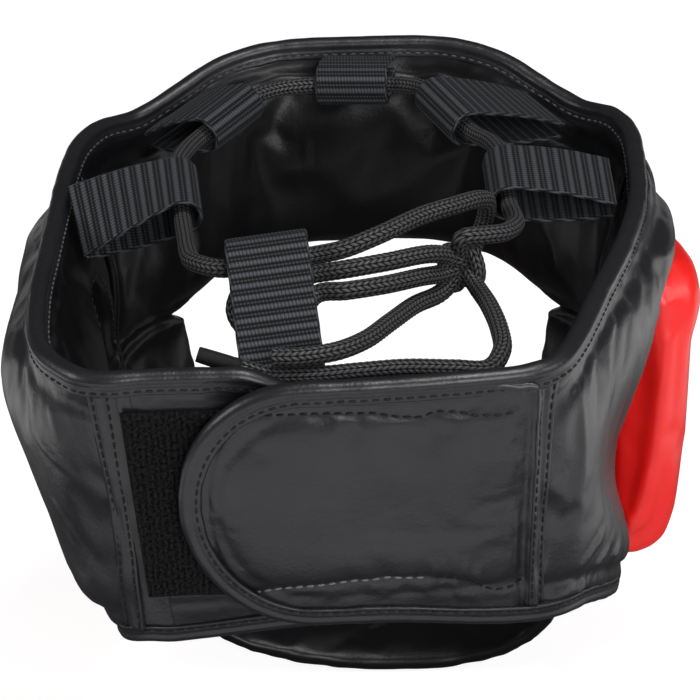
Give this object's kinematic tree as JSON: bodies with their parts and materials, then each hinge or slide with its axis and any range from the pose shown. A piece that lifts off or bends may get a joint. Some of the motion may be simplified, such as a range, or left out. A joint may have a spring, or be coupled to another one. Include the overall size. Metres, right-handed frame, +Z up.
{
  "type": "sparring headgear",
  "caption": "Padded leather sparring headgear, open over the crown, with red cheek pads, a rear closing flap, a chin strap and webbing loops drawn together by a braided lace.",
  "frame": {"origin": "the head's seat: on the mid-plane and the ear line, level with the top of the rear band", "axes": "+Z up along the wearer's head, -Y the way the face looks, +X towards the wearer's left"},
  "size_m": [0.238, 0.2505, 0.2236],
  "materials": {
    "black_leather": "satin, fine grain",
    "red_leather": "satin, smooth",
    "webbing": "ribbed weave",
    "lace": "braided",
    "pile": "looped pile",
    "tip": "wrapped film"
  },
  "bodies": {
    "root": {"forehead_pad": "black_leather", "side_pad_left": "black_leather", "side_pad_right": "black_leather", "cheek_wing_left": "black_leather", "cheek_wing_right": "black_leather", "cheek_pad_left": "red_leather", "cheek_pad_right": "red_leather", "rear_tab": "black_leather", "loop_pile": "pile", "rear_flap": "black_leather", "rim_binding": "black_leather", "hem_binding_left": "black_leather", "hem_binding_right": "black_leather", "chin_strap": "black_leather", "web_loop_front": "webbing", "web_loop_front_left": "webbing", "web_loop_front_right": "webbing", "web_loop_left": "webbing", "web_loop_right": "webbing", "web_loop_rear": "webbing", "lace_ring": "lace", "lace_bow": "lace", "lace_tail_short": "lace", "lace_tail_long": "lace", "lace_knot": "lace", "lace_tip": "tip"}
  },
  "joints": []
}
